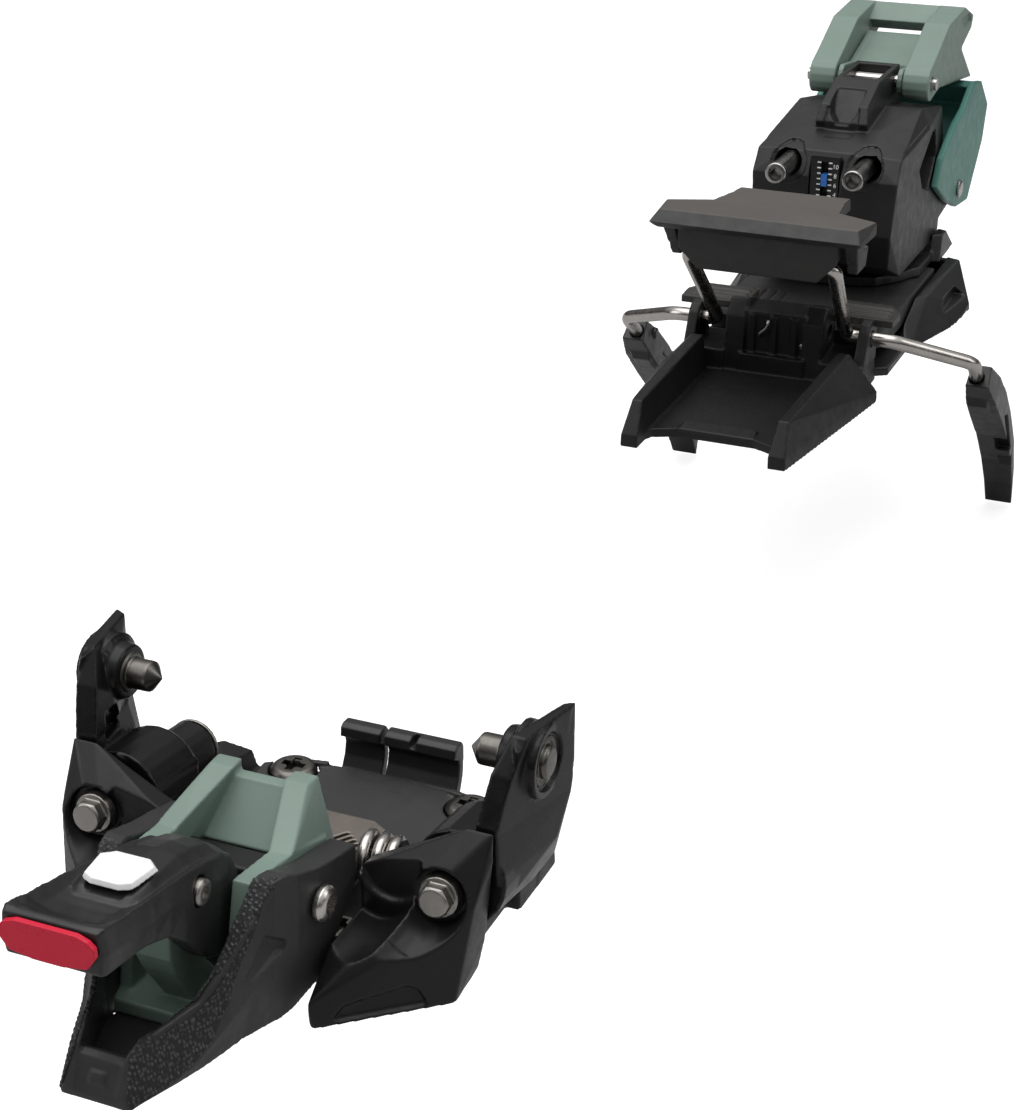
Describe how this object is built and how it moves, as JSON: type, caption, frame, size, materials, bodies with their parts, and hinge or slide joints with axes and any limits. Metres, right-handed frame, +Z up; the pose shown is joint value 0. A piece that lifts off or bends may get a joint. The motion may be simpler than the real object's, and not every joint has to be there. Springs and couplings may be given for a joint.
{
  "type": "touring ski binding",
  "caption": "Pin-style touring ski binding: toe unit with hinged jaws, front pedal and mode lever; heel unit with turning turret, heel pins, lifters, sliding carriage and a brake.",
  "frame": {"origin": "on the ski's top face, midway between the two toe pins, on the ski's centre line", "axes": "+X across the ski to the right, +Y along the ski towards its tail (heel unit), +Z up from the ski"},
  "size_m": [0.1216, 0.5332, 0.151],
  "materials": {
    "black_plastic": "satin moulded",
    "black_alloy": "satin black anodised",
    "black_grip": "fine textured",
    "sage_plastic": "satin moulded",
    "green_plastic": "satin moulded",
    "pedal_plastic": "satin moulded",
    "steel": "machined",
    "chrome": "polished",
    "dark_steel": "blackened",
    "trigger_metal": "bead blasted",
    "white_plastic": "gloss",
    "red_plastic": "gloss",
    "blue_plastic": "gloss"
  },
  "bodies": {
    "base": {"toe_base": "black_plastic", "toe_top_plate": "black_alloy", "toe_screw_rear_right": "dark_steel", "toe_screw_rear_left": "dark_steel", "toe_screw_front_right": "dark_steel", "toe_screw_front_left": "dark_steel", "crampon_hook_left": "black_alloy", "crampon_hook_right": "black_alloy", "jaw_axle_right": "steel", "jaw_axle_left": "steel", "jaw_spring_right": "chrome", "jaw_spring_left": "chrome", "pedal_axle": "steel", "brake_tray": "black_plastic", "brake_spring": "steel", "heel_track": "black_plastic", "heel_screw_front_right": "dark_steel", "heel_screw_front_left": "dark_steel", "heel_screw_rear_right": "dark_steel", "heel_screw_rear_left": "dark_steel"},
    "jaw_r": {"jaw_right": "black_alloy", "toe_pin_right": "dark_steel", "toe_pin_nut_right": "steel"},
    "jaw_l": {"jaw_left": "black_alloy", "toe_pin_left": "dark_steel", "toe_pin_nut_left": "steel"},
    "trigger": {"trigger_plate": "trigger_metal"},
    "front_pedal": {"pedal_rails": "black_grip", "pedal_yoke": "sage_plastic", "pedal_screw_right": "steel", "pedal_screw_left": "steel", "mode_lever_pin": "steel"},
    "lever": {"mode_lever": "black_plastic", "lever_badge_white": "white_plastic", "lever_badge_red": "red_plastic"},
    "brake": {"brake_wire_right": "chrome", "brake_wire_left": "chrome", "brake_tip_right": "black_plastic", "brake_tip_left": "black_plastic"},
    "stomp_pedal": {"brake_pedal": "pedal_plastic"},
    "carriage": {"heel_carriage": "black_plastic"},
    "adjuster": {"length_adjuster_screw": "steel"},
    "turret": {"turret_base": "black_plastic", "heel_housing": "black_plastic", "rear_frame": "green_plastic", "frame_screw_right": "steel", "frame_screw_left": "steel", "lifter_axle": "steel", "release_scale": "black_plastic", "release_spring": "steel"},
    "heel_pin_r": {"heel_pin_right": "steel"},
    "heel_pin_l": {"heel_pin_left": "steel"},
    "v_screw": {"vertical_release_screw": "steel"},
    "v_indicator": {"release_indicator": "blue_plastic"},
    "l_screw": {"lateral_release_screw": "steel"},
    "high_riser": {"high_lifter": "sage_plastic"},
    "low_riser": {"low_lifter": "sage_plastic"}
  },
  "joints": [
    {"name": "jaw_right_hinge", "type": "hinge", "parent": "base", "child": "jaw_r", "pos_m": [0.0344, 0, 0.01504], "axis": [0, -0.9921, 0.1257], "range_deg": [0, 10], "stiffness_Nm_per_rad": 0.5},
    {"name": "jaw_left_hinge", "type": "hinge", "parent": "base", "child": "jaw_l", "pos_m": [-0.0344, 0, 0.01504], "axis": [0, 0.9921, -0.1257], "range_deg": [0, 10]},
    {"name": "front_pedal_hinge", "type": "hinge", "parent": "base", "child": "front_pedal", "pos_m": [0, -0.033, 0.02], "axis": [-1, 0, 0], "range_deg": [0, 12]},
    {"name": "trigger_slide", "type": "slide", "parent": "base", "child": "trigger", "axis": [0, 0, -1], "range_m": [0, 0.0023]},
    {"name": "mode_lever_hinge", "type": "hinge", "parent": "front_pedal", "child": "lever", "pos_m": [0, -0.0534, 0.032], "axis": [-1, 0, 0], "range_deg": [0, 50]},
    {"name": "brake_hinge", "type": "hinge", "parent": "base", "child": "brake", "pos_m": [0, 0.2945, 0.0146], "axis": [1, 0, 0], "range_deg": [0, 36], "stiffness_Nm_per_rad": 0.15, "springref_deg": -11.46},
    {"name": "brake_pedal_hinge", "type": "hinge", "parent": "brake", "child": "stomp_pedal", "pos_m": [0, 0.2684, 0.0426], "axis": [1, 0, 0], "range_deg": [-36, 0]},
    {"name": "length_slide", "type": "slide", "parent": "base", "child": "carriage", "axis": [0, 1, 0], "range_m": [-0.005, 0.01]},
    {"name": "length_screw_turn", "type": "hinge", "parent": "base", "child": "adjuster", "pos_m": [0, 0.396, 0.0066], "axis": [0, -1, 0], "range_deg": [-1260, 2460]},
    {"name": "turret_turn", "type": "hinge", "parent": "carriage", "child": "turret", "pos_m": [0, 0.37, 0.012], "axis": [0, 0, 1], "range_deg": [-90, 90]},
    {"name": "heel_pin_right_splay", "type": "hinge", "parent": "turret", "child": "heel_pin_r", "pos_m": [0.0119, 0.346, 0.0533], "axis": [0, 0, 1], "range_deg": [0, 6], "stiffness_Nm_per_rad": 3},
    {"name": "heel_pin_left_splay", "type": "hinge", "parent": "turret", "child": "heel_pin_l", "pos_m": [-0.0119, 0.346, 0.0533], "axis": [0, 0, -1], "range_deg": [0, 6]},
    {"name": "vertical_release_turn", "type": "hinge", "parent": "turret", "child": "v_screw", "pos_m": [0, 0.379, 0.06], "axis": [0, 0, 1], "range_deg": [0, 1440]},
    {"name": "indicator_slide", "type": "slide", "parent": "turret", "child": "v_indicator", "axis": [0, 0, 1], "range_m": [0, 0.0035]},
    {"name": "lateral_release_turn", "type": "hinge", "parent": "turret", "child": "l_screw", "pos_m": [0, 0.39, 0.036], "axis": [0, 1, 0], "range_deg": [0, 1440]},
    {"name": "high_lifter_hinge", "type": "hinge", "parent": "turret", "child": "high_riser", "pos_m": [0, 0.3854, 0.0696], "axis": [1, 0, 0], "range_deg": [0, 140]},
    {"name": "low_lifter_hinge", "type": "hinge", "parent": "turret", "child": "low_riser", "pos_m": [0, 0.3854, 0.0696], "axis": [1, 0, 0], "range_deg": [0, 140]}
  ],
  "couplings": [
    {"joint": "jaw_left_hinge", "follows": "jaw_right_hinge", "ratio": 1},
    {"joint": "front_pedal_hinge", "follows": "jaw_right_hinge", "ratio": 1.2},
    {"joint": "trigger_slide", "follows": "jaw_right_hinge", "m_per_rad": 0.0126},
    {"joint": "brake_pedal_hinge", "follows": "brake_hinge", "ratio": -1},
    {"joint": "length_screw_turn", "follows": "length_slide", "rad_per_m": 4188.8},
    {"joint": "heel_pin_left_splay", "follows": "heel_pin_right_splay", "ratio": 1},
    {"joint": "indicator_slide", "follows": "vertical_release_turn", "m_per_rad": 0.000135}
  ]
}
